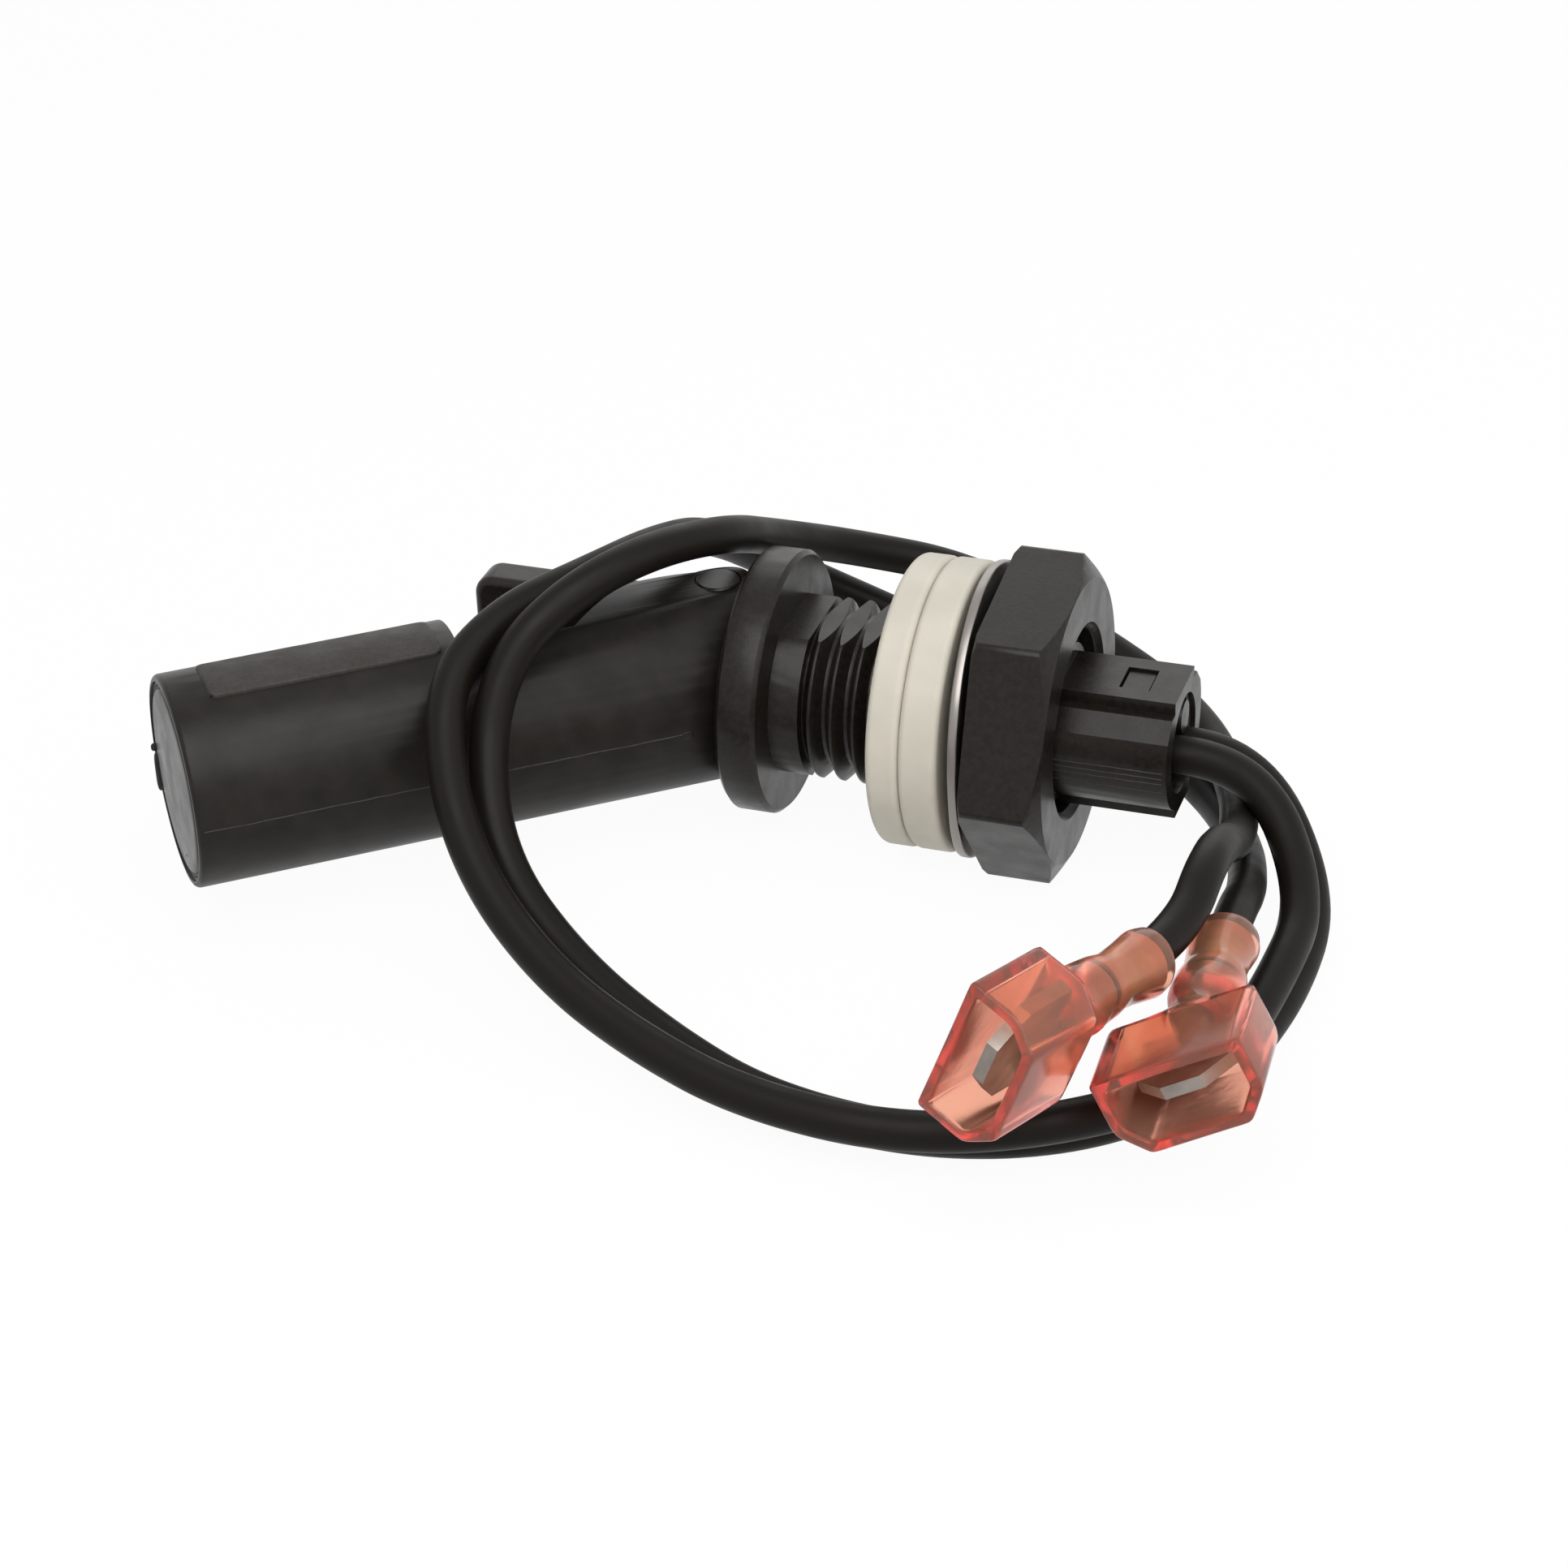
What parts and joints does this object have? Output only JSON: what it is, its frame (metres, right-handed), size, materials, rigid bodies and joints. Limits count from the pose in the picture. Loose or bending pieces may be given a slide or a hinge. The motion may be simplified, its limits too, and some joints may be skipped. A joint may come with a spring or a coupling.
{
  "type": "float level switch",
  "caption": "Side-mounted float level switch with a hinged barrel float, threaded stem with gaskets, washer and nut, and two looped leads with insulated blade terminals.",
  "frame": {"origin": "on the thread's axis, in the flange's face that seals against the tank wall", "axes": "+X along the stem towards the wires, +Z along the float's hinge pin, the float swings in the XY plane"},
  "size_m": [0.0779, 0.0644, 0.0232],
  "materials": {
    "black_moulding": "moulded black nylon, fine matt grain",
    "black_float": "moulded black polypropylene, satin",
    "gasket_white": "soft off-white elastomer, matt",
    "spring_steel": "bright stainless spring strip",
    "wire_black": "black insulation, satin",
    "red_nylon": "clear red nylon, moulded",
    "tinned_brass": "tinned brass strip",
    "copper": "bare tinned copper strands",
    "resin": "cast epoxy",
    "reed_glass": "clear green glass",
    "reed_metal": "nickel iron strip",
    "magnet": "sintered ferrite"
  },
  "bodies": {
    "stem": {"stem_body": "black_moulding", "lock_nut": "black_moulding", "wire_plug": "black_moulding", "gasket_inner": "gasket_white", "gasket_outer": "gasket_white", "wave_washer": "spring_steel", "potting_fill": "resin", "reed_capsule": "reed_glass", "reed_blade_a": "reed_metal", "reed_blade_b": "reed_metal", "stripped_tail_a": "copper", "stripped_tail_b": "copper", "lead_wire_a": "wire_black", "lead_wire_b": "wire_black", "terminal_sleeve_a": "red_nylon", "terminal_sleeve_b": "red_nylon", "terminal_tab_a": "tinned_brass", "terminal_tab_b": "tinned_brass", "support_ferrule_a": "tinned_brass", "support_ferrule_b": "tinned_brass", "stripped_end_a": "copper", "stripped_end_b": "copper"},
    "float": {"float_shell": "black_float", "float_end_cap": "black_float", "float_magnet": "magnet"}
  },
  "joints": [
    {"name": "float_hinge", "type": "hinge", "parent": "stem", "child": "float", "pos_m": [-0.00525, 0, 0], "axis": [0, 0, 1], "range_deg": [-38.5, 0]}
  ]
}
